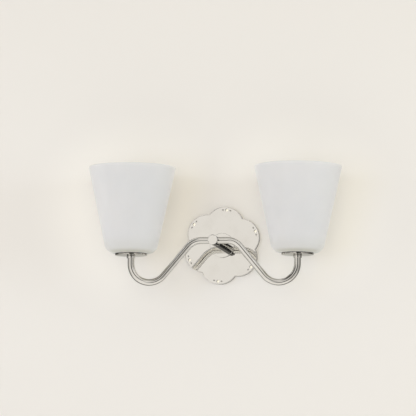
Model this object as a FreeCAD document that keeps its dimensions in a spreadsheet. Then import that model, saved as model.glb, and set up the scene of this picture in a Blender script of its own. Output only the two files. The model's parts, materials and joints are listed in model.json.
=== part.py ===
import FreeCAD, Part
import Sketcher
import math
import os
import re

# Double arm wall light: a scalloped, pierced backplate carries a round stem, and two swan-neck
# tubes leave the stem's sides. Each holds a lamp holder with an upright opal glass shade.
# Frame: millimetres. The wall is the plane y = 0, the room is towards -Y and +Z is up. The
# origin is the centre of the backplate's back face, on the stem's axis.

SIZES = (
    # backplate: round lobes, with three piercings near the tip of each
    ("plateDepth", 8.0),
    ("plateTurn", 6.6),
    ("lobeCount", 6),
    ("lobeOffset", 33.5),
    ("lobeRadius", 31.8),
    ("plateEdgeRound", 0.8),
    ("recessDepth", 5.4),
    ("eyeletCircle", 60.3),
    ("eyeletRadius", 2.3),
    ("dropSpread", 6.3),
    ("dropInset", 0.7),
    ("dropRadius", 1.0),
    ("dropHalfLength", 0.6),
    # boss, stem and front cap
    ("bossRadius", 20.6),
    ("bossThickness", 3.0),
    ("bossRound", 0.7),
    ("stemRadius", 8.1),
    ("armStandoff", 88.0),
    ("stemOverhang", 16.5),
    ("stemBore", 3.8),
    ("frontThickness", 3.0),
    ("frontBevel", 0.8),
    ("spigotRadius", 5.0),
    ("spigotLength", 4.0),
    # threaded nipples, nuts and lock washers, drawn at the outer size of the thread
    ("nippleRadius", 4.85),
    ("nippleBore", 3.5),
    ("nippleEngagement", 15.0),
    ("nippleProjection", 0.4),
    ("nutFlats", 14.0),
    ("nutHeight", 2.6),
    ("washerRadius", 8.4),
    ("washerThickness", 0.6),
    ("slipClearance", 0.05),
    # level bar behind the backplate, screwed to the wall box
    ("barWidth", 20.0),
    ("barThickness", 1.6),
    ("barEndGap", 2.0),
    ("barEndMargin", 1.85),
    ("barEyeRadius", 9.5),
    ("boxScrewSpacing", 88.9),
    ("boxScrewHole", 2.3),
    ("boxSlotSpacing", 66.0),
    ("boxSlotLength", 9.0),
    ("earHeight", 5.0),
    ("grubRadius", 1.5),
    ("grubHeight", 3.2),
    ("grubLength", 5.0),
    ("earthPlace", 15.0),
    ("earthRadius", 1.9),
    ("earthHeadRadius", 3.4),
    ("earthHeadHeight", 2.2),
    # swan-neck arms and the lead inside each
    ("armReach", 138.0),
    ("armRadius", 5.5),
    ("armWall", 1.25),
    ("armDrop", 68.9),
    ("armSlope", 50.0),
    ("elbowRadius", 31.0),
    ("crestRadius", 28.5),
    ("armEndGap", 3.9),
    ("leadRadius", 1.6),
    ("leadSpread", 1.7),
    ("leadBend", 3.5),
    # collar, seat and gasket below each shade
    ("seatDrop", 24.2),
    ("seatThickness", 2.4),
    ("seatBevel", 0.4),
    ("collarRadius", 7.2),
    ("collarHeight", 5.0),
    ("collarEntry", 2.6),
    ("collarBevel", 0.5),
    ("gasketThickness", 0.8),
    ("gasketClearance", 1.6),
    ("gasketWidth", 4.4),
    # glass shade, open at the top
    ("shadeHeight", 142.8),
    ("shadeTopRadius", 72.0),
    ("shadeFootRadius", 40.8),
    ("shadeCorner", 17.0),
    ("shadeHole", 21.0),
    ("glassWall", 4.0),
    ("glassEdgeRound", 1.6),
    # shade ring and lamp holder
    ("ringFlangeRadius", 26.0),
    ("ringFlangeThickness", 2.2),
    ("ringHeight", 8.0),
    ("ringWall", 2.0),
    ("ringNotchCount", 8),
    ("ringNotchRadius", 1.6),
    ("ringClearance", 0.08),
    ("holderRadius", 19.9),
    ("holderBaseHeight", 18.0),
    ("holderBaseWall", 2.6),
    ("holderFloor", 1.6),
    ("holderSpigot", 6.0),
    ("holderPartition", 4.0),
    ("barrelRadius", 17.2),
    ("barrelHeight", 27.0),
    ("barrelShoulder", 6.0),
    ("barrelStep", 0.7),
    ("shellRadius", 13.2),
    ("shellWall", 0.4),
    ("shellHeight", 22.0),
    ("shellLift", 2.0),
    ("shellLip", 3.0),
    ("contactPost", 1.95),
    ("contactHead", 4.4),
    ("contactRise", 1.6),
    # candle bulb on a screw cap
    ("screwRadius", 13.1),
    ("screwWall", 0.4),
    ("screwHeight", 22.0),
    ("screwTaper", 2.6),
    ("insulatorRadius", 9.2),
    ("insulatorHeight", 1.8),
    ("eyeRadius", 4.0),
    ("eyeHeight", 0.8),
    ("bulbRadius", 17.4),
    ("bulbHeight", 74.0),
    ("bulbShoulder", 30.0),
    ("bulbTaperHeight", 63.6),
    ("bulbTaperRadius", 8.2),
    ("bulbGlassWall", 0.8),
    ("bulbEntry", 4.0),
)

document = FreeCAD.newDocument("WallLight")
sizes = document.addObject("Spreadsheet::Sheet", "Sizes")
for row, (name, value) in enumerate(SIZES, start=1):
    sizes.set(f"A{row}", name)
    sizes.set(f"B{row}", str(value))
    sizes.setAlias(f"B{row}", name)
document.recompute()

ALIASES = {name for name, value in SIZES}
TOWARDS_ROOM = FreeCAD.Rotation(FreeCAD.Vector(1, 0, 0), 90)
SIDES = (("left", -1), ("right", 1))
SAME_LEVEL = 0.01
parts = []


def size(name):
    return float(getattr(sizes, name))


def bound(text):
    # plain words that name a size become references to the sheet
    return re.sub(r"[A-Za-z]+", lambda word: f"Sizes.{word[0]}" if word[0] in ALIASES else word[0], text)


# Places along the stem's axis, counted from the wall.
bossFront = "(plateDepth + bossThickness)"
armPlace = "(plateDepth + armStandoff)"
stemEnd = "(plateDepth + armStandoff + stemOverhang - frontThickness)"
nippleFoot = "(recessDepth - washerThickness - nutHeight - nippleProjection)"
barEnd = "(boxScrewSpacing / 2 + boxScrewHole + barEndMargin)"
recessRim = f"({barEnd} + barEndGap)"

# The seat reaches past the gasket by its own bevel, and the gasket starts just outside the holder.
gasketBore = "(holderRadius + gasketClearance)"
gasketRim = f"({gasketBore} + gasketWidth)"
seatRim = f"({gasketRim} + seatBevel)"

# Heights at a lamp, counted from the level at which the arms leave the stem.
seatTop = "(seatThickness - seatDrop)"
glassFoot = f"({seatTop} + gasketThickness)"
glassFloor = f"({glassFoot} + glassWall)"
glassRim = f"({glassFoot} + shadeHeight)"
baseTop = f"({seatTop} + holderBaseHeight)"
partitionFoot = f"({baseTop} - holderSpigot)"
socketFloor = f"({partitionFoot} + holderPartition)"
barrelTop = f"({baseTop} + barrelHeight)"
shellFoot = f"({socketFloor} + shellLift)"
contactTop = f"({socketFloor} + contactRise)"
insulatorFoot = f"({contactTop} + eyeHeight)"
screwFoot = f"({insulatorFoot} + insulatorHeight)"
screwTop = f"({screwFoot} + screwHeight)"
bulbFoot = f"({screwTop} - bulbEntry)"


def placeOnStem(part):
    # local +Z points from the wall into the room
    part.Placement = FreeCAD.Placement(FreeCAD.Vector(), TOWARDS_ROOM)


def placeAtLamp(part, sign):
    part.setExpression(".Placement.Base.x", bound(f"{sign} * armReach"))
    part.setExpression(".Placement.Base.y", bound(f"-{armPlace}"))


def newBody(label):
    body = document.addObject("PartDesign::Body", label)
    body.Label = label
    parts.append(body)
    return body


def originOf(body, role):
    return next(item for item in body.Origin.OriginFeatures if item.Role == role)


def newSketch(body, role, tilted=False):
    sketch = body.newObject("Sketcher::SketchObject", "Sketch")
    sketch.AttachmentSupport = (originOf(body, role), [""])
    sketch.MapMode = "FlatFace"
    if tilted:
        sketch.AttachmentOffset = FreeCAD.Placement(
            FreeCAD.Vector(), FreeCAD.Rotation(FreeCAD.Vector(0, 0, 1), -size("plateTurn"))
        )
    return sketch


def rule(sketch, kind, *where, value=None):
    # a constraint, bound to an expression where it has a value
    if value is None:
        sketch.addConstraint(Sketcher.Constraint(kind, *where))
        return
    start = float(sizes.evalExpression(bound(value)))
    if kind == "Angle":
        start = math.radians(start)
    index = sketch.addConstraint(Sketcher.Constraint(kind, *where, start))
    sketch.setExpression(f"Constraints[{index}]", bound(value))


def locate(sketch, geometry, point, x, y):
    # holds a sketch point at (x, y); a plain "0" puts it on that axis
    for kind, value, axis in (("DistanceX", x, -2), ("DistanceY", y, -1)):
        if value == "0":
            rule(sketch, "PointOnObject", geometry, point, axis)
        else:
            rule(sketch, kind, -1, 1, geometry, point, value=value)


def outline(sketch, corners):
    # a closed outline of straight lines through corners given as pairs of expressions
    count = len(corners)
    rough = [FreeCAD.Vector(math.cos(index), math.sin(index), 0) for index in range(count)]
    lines = [
        sketch.addGeometry(Part.LineSegment(rough[index], rough[(index + 1) % count]))
        for index in range(count)
    ]
    for index, (x, y) in enumerate(corners):
        rule(sketch, "Coincident", lines[index - 1], 2, lines[index], 1)
        locate(sketch, lines[index], 1, x, y)


def circle(sketch, x, y, radius):
    index = sketch.addGeometry(Part.Circle(FreeCAD.Vector(1, 1, 0), FreeCAD.Vector(0, 0, 1), 1))
    locate(sketch, index, 3, x, y)
    rule(sketch, "Radius", index, value=radius)


def slot(sketch, x, y, halfLength, radius, rough):
    # a level slot; rough gives its numbers to start from, as (x, y, half length, radius)
    middle, height, half, bend = rough
    up = FreeCAD.Vector(0, 0, 1)
    ends = []
    for direction in (-1, 1):
        centre = FreeCAD.Vector(middle + direction * half, height, 0)
        turn = Part.Circle(centre, up, bend)
        start = math.pi / 2 if direction < 0 else -math.pi / 2
        ends.append(sketch.addGeometry(Part.ArcOfCircle(turn, start, start + math.pi)))
    lines = []
    for direction in (-1, 1):
        level = height + direction * bend
        start = FreeCAD.Vector(middle - half, level, 0)
        finish = FreeCAD.Vector(middle + half, level, 0)
        lines.append(sketch.addGeometry(Part.LineSegment(start, finish)))
    rule(sketch, "Tangent", ends[0], 2, lines[0], 1)
    rule(sketch, "Tangent", lines[0], 2, ends[1], 1)
    rule(sketch, "Tangent", ends[1], 2, lines[1], 2)
    rule(sketch, "Tangent", lines[1], 1, ends[0], 1)
    rule(sketch, "Horizontal", lines[0])
    rule(sketch, "Equal", ends[0], ends[1])
    locate(sketch, ends[0], 3, f"{x} - {halfLength}", y)
    rule(sketch, "DistanceX", ends[0], 3, ends[1], 3, value=f"2 * {halfLength}")
    rule(sketch, "Radius", ends[0], value=radius)


def turned(label, corners):
    # a piece turned about its own Z axis
    body = newBody(label)
    sketch = newSketch(body, "XZ_Plane")
    outline(sketch, corners)
    feature = body.newObject("PartDesign::Revolution", "Turned")
    feature.Profile = sketch
    feature.ReferenceAxis = (sketch, ["V_Axis"])
    feature.Angle = 360
    body.Tip = feature
    return body


def tube(inner, outer, foot, top):
    return [(inner, foot), (outer, foot), (outer, top), (inner, top)]


def pad(body, sketch, length):
    feature = body.newObject("PartDesign::Pad", "Pad")
    feature.Profile = sketch
    feature.setExpression("Length", bound(length))
    body.Tip = feature
    return feature


def pocket(body, sketch, length=None, both=False):
    # cuts towards the sketch's normal, or both ways, right through where no length is given
    feature = body.newObject("PartDesign::Pocket", "Pocket")
    feature.Profile = sketch
    feature.Reversed = True
    if both:
        feature.Midplane = True
    if length is None:
        feature.Type = "ThroughAll"
    else:
        feature.setExpression("Length", bound(length))
    body.Tip = feature
    return feature


def patternRound(body, feature, count):
    pattern = body.newObject("PartDesign::PolarPattern", "Pattern")
    pattern.Originals = [feature]
    pattern.Axis = (originOf(body, "Z_Axis"), [""])
    pattern.Angle = 360
    pattern.setExpression("Occurrences", bound(count))
    body.Tip = pattern
    return pattern


def circlesAt(body, height):
    # names of the edges that are arcs or circles at one height, small to large
    document.recompute()
    found = []
    for index, edge in enumerate(body.Tip.Shape.Edges, start=1):
        if isinstance(edge.Curve, Part.Circle) and abs(edge.Curve.Center.z - height) < SAME_LEVEL:
            found.append((edge.Curve.Radius, f"Edge{index}"))
    return [name for radius, name in sorted(found)]


def roundEdges(body, names, radius):
    base = body.Tip
    fillet = body.newObject("PartDesign::Fillet", "Round")
    fillet.Base = (base, names)
    fillet.setExpression("Radius", bound(radius))
    body.Tip = fillet


def makeBackplate():
    body = newBody("backplate")
    core = newSketch(body, "XY_Plane")
    circle(core, "0", "0", "lobeOffset + lobeRadius / 2")
    pad(body, core, "plateDepth")
    lobe = newSketch(body, "XY_Plane", tilted=True)
    circle(lobe, "0", "lobeOffset", "lobeRadius")
    patternRound(body, pad(body, lobe, "plateDepth"), "lobeCount")
    roundEdges(body, circlesAt(body, size("plateDepth")), "plateEdgeRound")

    recess = newSketch(body, "XY_Plane")
    circle(recess, "0", "0", recessRim)
    pocket(body, recess, "recessDepth")
    centre = newSketch(body, "XY_Plane")
    circle(centre, "0", "0", "nippleRadius + slipClearance")
    pocket(body, centre)
    makePiercings(body)
    grub = newSketch(body, "YZ_Plane")
    circle(grub, "0", "grubHeight", "grubRadius + slipClearance")
    pocket(body, grub, both=True)
    placeOnStem(body)


def makePiercings(body):
    # a round eyelet between two drops, cut through one lobe and repeated round the plate
    sketch = newSketch(body, "XY_Plane", tilted=True)
    circle(sketch, "0", "eyeletCircle", "eyeletRadius")
    height = size("eyeletCircle") - size("dropInset")
    for direction in (-1, 1):
        rough = (direction * size("dropSpread"), height, size("dropHalfLength"), size("dropRadius"))
        place = f"{direction} * dropSpread"
        slot(sketch, place, "eyeletCircle - dropInset", "dropHalfLength", "dropRadius", rough)
    patternRound(body, pocket(body, sketch), "lobeCount")


def makeBoss():
    corners = tube("nippleRadius + slipClearance", "bossRadius", "plateDepth", bossFront)
    body = turned("backplate_boss", corners)
    top = size("plateDepth") + size("bossThickness")
    roundEdges(body, circlesAt(body, top)[-1:], "bossRound")
    placeOnStem(body)


def makeStem():
    # bored right through for the leads, wider at the rear for the nipple and at the front
    # for the front cap, with one cross bore that takes both arms
    nippleHole = "nippleRadius + slipClearance"
    spigotHole = "spigotRadius + slipClearance"
    nippleEnd = f"{bossFront} + nippleEngagement"
    spigotEnd = f"{stemEnd} - spigotLength - slipClearance"
    body = turned(
        "stem",
        [
            (nippleHole, bossFront),
            ("stemRadius", bossFront),
            ("stemRadius", stemEnd),
            (spigotHole, stemEnd),
            (spigotHole, spigotEnd),
            ("stemBore", spigotEnd),
            ("stemBore", nippleEnd),
            (nippleHole, nippleEnd),
        ],
    )
    cross = newSketch(body, "YZ_Plane")
    circle(cross, "0", armPlace, "armRadius + slipClearance")
    pocket(body, cross, both=True)
    placeOnStem(body)


def makeStemFront():
    front = f"{stemEnd} + frontThickness"
    body = turned(
        "stem_front_cap",
        [
            ("0", f"{stemEnd} - spigotLength"),
            ("spigotRadius", f"{stemEnd} - spigotLength"),
            ("spigotRadius", stemEnd),
            ("stemRadius", stemEnd),
            ("stemRadius", f"{front} - frontBevel"),
            ("stemRadius - frontBevel", front),
            ("0", front),
        ],
    )
    placeOnStem(body)


def hexagon(sketch, x):
    half = "nutFlats / 2"
    corner = "nutFlats / sqrt(3)"
    shoulder = "nutFlats / sqrt(12)"
    outline(
        sketch,
        [
            (f"{x} + {corner}", "0"),
            (f"{x} + {shoulder}", half),
            (f"{x} - {shoulder}", half),
            (f"{x} - {corner}", "0"),
            (f"{x} - {shoulder}", f"-{half}"),
            (f"{x} + {shoulder}", f"-{half}"),
        ],
    )


def makeHexNuts(label, places, foot):
    body = newBody(label)
    sketch = newSketch(body, "XY_Plane")
    sketch.setExpression(".AttachmentOffset.Base.z", bound(foot))
    for place in places:
        hexagon(sketch, place)
        circle(sketch, place, "0", "nippleRadius + slipClearance")
    pad(body, sketch, "nutHeight")
    return body


def makeTubes(label, places, inner, outer, foot, length):
    # the same short tube at each place
    body = newBody(label)
    sketch = newSketch(body, "XY_Plane")
    sketch.setExpression(".AttachmentOffset.Base.z", bound(foot))
    for place in places:
        circle(sketch, place, "0", outer)
        circle(sketch, place, "0", inner)
    pad(body, sketch, length)
    return body


def makeStemFixing():
    # the nipple holds stem, boss and backplate together, with its nut in the recess
    nipple = turned(
        "stem_nipple",
        tube("nippleBore", "nippleRadius", nippleFoot, f"{bossFront} + nippleEngagement - slipClearance"),
    )
    washerFoot = "recessDepth - washerThickness"
    washer = turned(
        "stem_lock_washer",
        tube("nippleRadius + slipClearance", "washerRadius", washerFoot, "recessDepth"),
    )
    nut = makeHexNuts("stem_nut", ["0"], f"{washerFoot} - nutHeight")
    for part in (nipple, washer, nut):
        placeOnStem(part)


def makeWallBar():
    # a flat bar with an ear bent up at each end for the grub screws to bear on
    body = newBody("wall_bar")
    half = "barWidth / 2"
    flat = newSketch(body, "XY_Plane")
    outline(flat, [(f"-{barEnd}", f"-{half}"), (barEnd, f"-{half}"), (barEnd, half), (f"-{barEnd}", half)])
    circle(flat, "0", "0", "barEyeRadius")
    circle(flat, "earthPlace", "barWidth / 4", "earthRadius + slipClearance")
    halfSlot = size("boxSlotLength") / 2 - size("boxScrewHole")
    for direction in (-1, 1):
        circle(flat, f"{direction} * boxScrewSpacing / 2", "0", "boxScrewHole")
        rough = (direction * size("boxSlotSpacing") / 2, 0, halfSlot, size("boxScrewHole"))
        place = f"{direction} * boxSlotSpacing / 2"
        slot(flat, place, "0", "(boxSlotLength / 2 - boxScrewHole)", "boxScrewHole", rough)
    pad(body, flat, "barThickness")
    ears = newSketch(body, "XY_Plane")
    for side in ("", "-"):
        near = f"{side}({barEnd} - barThickness)"
        far = f"{side}{barEnd}"
        outline(ears, [(near, f"-{half}"), (far, f"-{half}"), (far, half), (near, half)])
    pad(body, ears, "earHeight")
    placeOnStem(body)


def makeWallScrews():
    # two grub screws through the backplate's edge, ending on the bar's ears
    grubs = newBody("grub_screws")
    for side, sign in SIDES:
        sketch = newSketch(grubs, "YZ_Plane")
        circle(sketch, "0", "grubHeight", "grubRadius")
        sketch.setExpression(".AttachmentOffset.Base.z", bound(f"{sign} * {barEnd}"))
        screw = pad(grubs, sketch, "grubLength")
        screw.Reversed = sign < 0
    placeOnStem(grubs)

    earth = turned(
        "earth_screw",
        [
            ("0", "0"),
            ("earthRadius", "0"),
            ("earthRadius", "barThickness"),
            ("earthHeadRadius", "barThickness"),
            ("earthHeadRadius", "barThickness + earthHeadHeight"),
            ("0", "barThickness + earthHeadHeight"),
        ],
    )
    placeOnStem(earth)
    earth.setExpression(".Placement.Base.x", bound("earthPlace"))
    earth.setExpression(".Placement.Base.z", bound("barWidth / 4"))


def armRoute():
    # The arm's centre line in the arms' plane, for the right side. It goes down from the lamp,
    # round the elbow, up the slope and over the crest to a level run towards the stem.
    reach, drop = size("armReach"), size("armDrop")
    elbow, crest = size("elbowRadius"), size("crestRadius")
    slope = math.radians(size("armSlope"))
    across, along = math.sin(slope), math.cos(slope)
    corner = reach - elbow - (elbow + crest) * math.tan(slope / 2) - drop / math.tan(slope)
    elbowCentre = FreeCAD.Vector(reach - elbow, elbow - drop, 0)
    crestCentre = FreeCAD.Vector(corner, -crest, 0)
    low = elbowCentre + FreeCAD.Vector(-elbow * across, -elbow * along, 0)
    high = crestCentre + FreeCAD.Vector(crest * across, crest * along, 0)
    return elbowCentre, crestCentre, low, high


def armPath(body):
    sketch = newSketch(body, "XZ_Plane")
    elbowCentre, crestCentre, low, high = armRoute()
    up = FreeCAD.Vector(0, 0, 1)
    slope = math.radians(size("armSlope"))
    side = FreeCAD.Vector(size("armReach"), elbowCentre.y, 0)
    top = FreeCAD.Vector(size("armReach"), -size("seatDrop"), 0)
    inner = FreeCAD.Vector(size("armEndGap"), 0, 0)
    level = FreeCAD.Vector(crestCentre.x, 0, 0)
    elbowCircle = Part.Circle(elbowCentre, up, size("elbowRadius"))
    crestCircle = Part.Circle(crestCentre, up, size("crestRadius"))
    drop = sketch.addGeometry(Part.LineSegment(top, side))
    elbow = sketch.addGeometry(Part.ArcOfCircle(elbowCircle, -math.pi / 2 - slope, 0))
    climb = sketch.addGeometry(Part.LineSegment(low, high))
    crest = sketch.addGeometry(Part.ArcOfCircle(crestCircle, math.pi / 2 - slope, math.pi / 2))
    run = sketch.addGeometry(Part.LineSegment(level, inner))
    rule(sketch, "Tangent", drop, 2, elbow, 2)
    rule(sketch, "Tangent", elbow, 1, climb, 1)
    rule(sketch, "Tangent", climb, 2, crest, 1)
    rule(sketch, "Tangent", crest, 2, run, 1)
    rule(sketch, "Vertical", drop)
    rule(sketch, "Horizontal", run)
    locate(sketch, drop, 1, "armReach", "collarEntry - seatDrop - collarHeight")
    locate(sketch, run, 2, "armEndGap", "0")
    rule(sketch, "DistanceY", -1, 1, elbow, 3, value="elbowRadius - armDrop")
    rule(sketch, "Radius", elbow, value="elbowRadius")
    rule(sketch, "Radius", crest, value="crestRadius")
    rule(sketch, "Angle", climb, value="180 - armSlope")
    return sketch


def makeArm(side, sign):
    body = newBody(f"{side}_arm")
    path = armPath(body)
    section = newSketch(body, "YZ_Plane")
    section.setExpression(".AttachmentOffset.Base.z", bound("armEndGap"))
    circle(section, "0", "0", "armRadius")
    circle(section, "0", "0", "armRadius - armWall")
    sweep = body.newObject("PartDesign::AdditivePipe", "Sweep")
    sweep.Profile = section
    sweep.Spine = (path, [])
    body.Tip = sweep
    if sign < 0:
        body.Placement = FreeCAD.Placement(FreeCAD.Vector(), FreeCAD.Rotation(180, 0, 0))
    body.setExpression(".Placement.Base.y", bound(f"-{armPlace}"))


def newShape(label, shape):
    part = document.addObject("Part::Feature", label)
    part.Label = label
    part.Shape = shape
    parts.append(part)
    return part


def makeLead(side, sign):
    # a twin lead from the lamp holder through the arm, then back through the stem's bore and
    # the nipple, where the wall box's leads meet it
    elbowCentre, crestCentre, low, high = armRoute()
    elbow, crest = size("elbowRadius"), size("crestRadius")
    spread, bend = size("leadSpread"), size("leadBend")
    slope = math.radians(size("armSlope"))

    def at(x, z, y=0.0):
        return FreeCAD.Vector(sign * x, y, z)

    terminal = size("seatThickness") - size("seatDrop") + size("holderBaseHeight") - size("holderSpigot")
    nippleEnd = size("recessDepth") - size("washerThickness") - size("nutHeight") - size("nippleProjection")
    rear = size("plateDepth") + size("armStandoff") - nippleEnd
    reach = size("armReach")
    halfBend = bend * math.sqrt(0.5)
    elbowLowest = at(elbowCentre.x, elbowCentre.y - elbow)
    crestMiddle = at(
        crestCentre.x + crest * math.sin(slope / 2), crestCentre.y + crest * math.cos(slope / 2)
    )
    turnMiddle = at(spread + bend - halfBend, 0, bend - halfBend)
    stops = [
        at(reach, terminal),
        at(reach, elbowCentre.y),
        at(low.x, low.y),
        at(high.x, high.y),
        at(crestCentre.x, 0),
        at(spread + bend, 0),
        at(spread, 0, bend),
        at(spread, 0, rear),
    ]
    middles = {1: elbowLowest, 3: crestMiddle, 5: turnMiddle}
    edges = []
    for index in range(len(stops) - 1):
        start, finish = stops[index], stops[index + 1]
        if index in middles:
            edges.append(Part.Arc(start, middles[index], finish).toShape())
        else:
            edges.append(Part.LineSegment(start, finish).toShape())
    section = Part.Wire(Part.makeCircle(size("leadRadius"), stops[0], FreeCAD.Vector(0, 0, -1)))
    part = newShape(f"{side}_lead", Part.Wire(edges).makePipeShell([section], True, False))
    part.setExpression(".Placement.Base.y", bound(f"-{armPlace}"))


def makeSeat(side):
    # collar on the arm's end, the disc it carries and the gasket under the glass
    collarFoot = "(-seatDrop - collarHeight)"
    entry = "armRadius + slipClearance"
    thread = "nippleRadius + slipClearance"
    collar = turned(
        f"{side}_arm_collar",
        [
            (entry, collarFoot),
            ("collarRadius - collarBevel", collarFoot),
            ("collarRadius", f"{collarFoot} + collarBevel"),
            ("collarRadius", "-seatDrop"),
            (thread, "-seatDrop"),
            (thread, f"{collarFoot} + collarEntry"),
            (entry, f"{collarFoot} + collarEntry"),
        ],
    )
    seat = turned(
        f"{side}_shade_seat",
        [
            (thread, "-seatDrop"),
            (gasketRim, "-seatDrop"),
            (seatRim, "seatBevel - seatDrop"),
            (seatRim, seatTop),
            (thread, seatTop),
        ],
    )
    gasket = turned(f"{side}_seat_gasket", tube(gasketBore, gasketRim, seatTop, glassFoot))
    return [collar, seat, gasket]


def makeShade(side):
    # a cone of glass with a rounded foot, a hole in its floor and an open top
    spread = "(shadeTopRadius - shadeFootRadius) / shadeHeight"
    level = f"glassWall * sqrt(1 + ({spread}) ^ 2)"
    body = turned(
        f"{side}_shade",
        [
            ("shadeHole", glassFoot),
            ("shadeFootRadius", glassFoot),
            ("shadeTopRadius", glassRim),
            (f"shadeTopRadius - {level}", glassRim),
            (f"shadeFootRadius + glassWall * {spread} - {level}", glassFloor),
            ("shadeHole", glassFloor),
        ],
    )
    foot = size("seatThickness") + size("gasketThickness") - size("seatDrop")
    roundEdges(body, circlesAt(body, foot + size("glassWall"))[-1:], "shadeCorner - glassWall")
    roundEdges(body, circlesAt(body, foot)[-1:], "shadeCorner")
    roundEdges(body, circlesAt(body, foot + size("shadeHeight")), "glassEdgeRound")
    return body


def makeShadeRing(side):
    bore = "holderRadius + ringClearance"
    body = turned(
        f"{side}_shade_ring",
        [
            (bore, glassFloor),
            ("ringFlangeRadius", glassFloor),
            ("ringFlangeRadius", f"{glassFloor} + ringFlangeThickness"),
            (f"{bore} + ringWall", f"{glassFloor} + ringFlangeThickness"),
            (f"{bore} + ringWall", f"{glassFloor} + ringHeight"),
            (bore, f"{glassFloor} + ringHeight"),
        ],
    )
    notch = newSketch(body, "XY_Plane")
    notch.setExpression(".AttachmentOffset.Base.z", bound(glassFloor))
    circle(notch, "ringFlangeRadius", "0", "ringNotchRadius")
    patternRound(body, pocket(body, notch, "ringFlangeThickness"), "ringNotchCount")
    return body


def makeHolder(side):
    # a cup on the seat, and a socket body that plugs into it
    hole = "nippleRadius + slipClearance"
    inside = "holderRadius - holderBaseWall"
    base = turned(
        f"{side}_holder_base",
        [
            (hole, seatTop),
            ("holderRadius", seatTop),
            ("holderRadius", baseTop),
            (inside, baseTop),
            (inside, f"{seatTop} + holderFloor"),
            (hole, f"{seatTop} + holderFloor"),
        ],
    )
    socket = "shellRadius + shellWall + slipClearance"
    shoulder = "holderRadius - barrelStep"
    body = turned(
        f"{side}_holder_body",
        [
            ("contactPost + slipClearance", partitionFoot),
            (f"{inside} - slipClearance", partitionFoot),
            (f"{inside} - slipClearance", baseTop),
            (shoulder, baseTop),
            (shoulder, f"{baseTop} + barrelShoulder"),
            ("barrelRadius", f"{baseTop} + barrelShoulder + holderRadius - barrelRadius"),
            ("barrelRadius", barrelTop),
            (socket, barrelTop),
            (socket, socketFloor),
            ("contactPost + slipClearance", socketFloor),
        ],
    )
    shell = turned(
        f"{side}_screw_shell",
        [
            ("shellRadius - shellLip", socketFloor),
            ("shellRadius + shellWall", socketFloor),
            ("shellRadius + shellWall", f"{shellFoot} + shellHeight"),
            ("shellRadius", f"{shellFoot} + shellHeight"),
            ("shellRadius", f"{socketFloor} + shellWall"),
            ("shellRadius - shellLip", f"{socketFloor} + shellWall"),
        ],
    )
    contact = turned(
        f"{side}_centre_contact",
        [
            ("0", partitionFoot),
            ("contactPost", partitionFoot),
            ("contactPost", socketFloor),
            ("contactHead", socketFloor),
            ("contactHead", f"{socketFloor} + shellWall"),
            ("contactPost", contactTop),
            ("0", contactTop),
        ],
    )
    return [base, body, shell, contact]


def makeLampFixings():
    # at each lamp a nipple, a lock washer and a nut hold collar, seat and holder base together
    places = [f"{sign} * armReach" for side, sign in SIDES]
    foot = "(collarEntry - seatDrop - collarHeight)"
    floor = f"({seatTop} + holderFloor)"
    top = f"({floor} + washerThickness + nutHeight + nippleProjection)"
    thread = "nippleRadius + slipClearance"
    nipples = makeTubes("arm_nipples", places, "nippleBore", "nippleRadius", foot, f"{top} - {foot}")
    washers = makeTubes("lock_washers", places, thread, "washerRadius", floor, "washerThickness")
    nuts = makeHexNuts("lock_nuts", places, f"{floor} + washerThickness")
    for part in (nipples, washers, nuts):
        part.setExpression(".Placement.Base.y", bound(f"-{armPlace}"))


def makeBulb(side):
    inside = "screwRadius - screwWall"
    cap = turned(
        f"{side}_bulb_cap",
        [
            ("insulatorRadius", screwFoot),
            ("screwRadius", f"{screwFoot} + screwTaper"),
            ("screwRadius", screwTop),
            (inside, screwTop),
            (inside, f"{screwFoot} + screwTaper + screwWall"),
            ("insulatorRadius", f"{screwFoot} + screwWall"),
        ],
    )
    insulator = turned(
        f"{side}_bulb_insulator",
        [
            ("0", insulatorFoot),
            ("eyeRadius", insulatorFoot),
            ("insulatorRadius", screwFoot),
            ("insulatorRadius", f"{screwFoot} + screwWall"),
            ("0", f"{screwFoot} + screwWall"),
        ],
    )
    eye = turned(
        f"{side}_bulb_contact",
        [
            ("0", contactTop),
            ("contactPost", contactTop),
            ("eyeRadius", f"{insulatorFoot} - eyeHeight / 2"),
            ("eyeRadius", insulatorFoot),
            ("0", insulatorFoot),
        ],
    )
    return [cap, insulator, eye, makeBulbGlass(side)]


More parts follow.
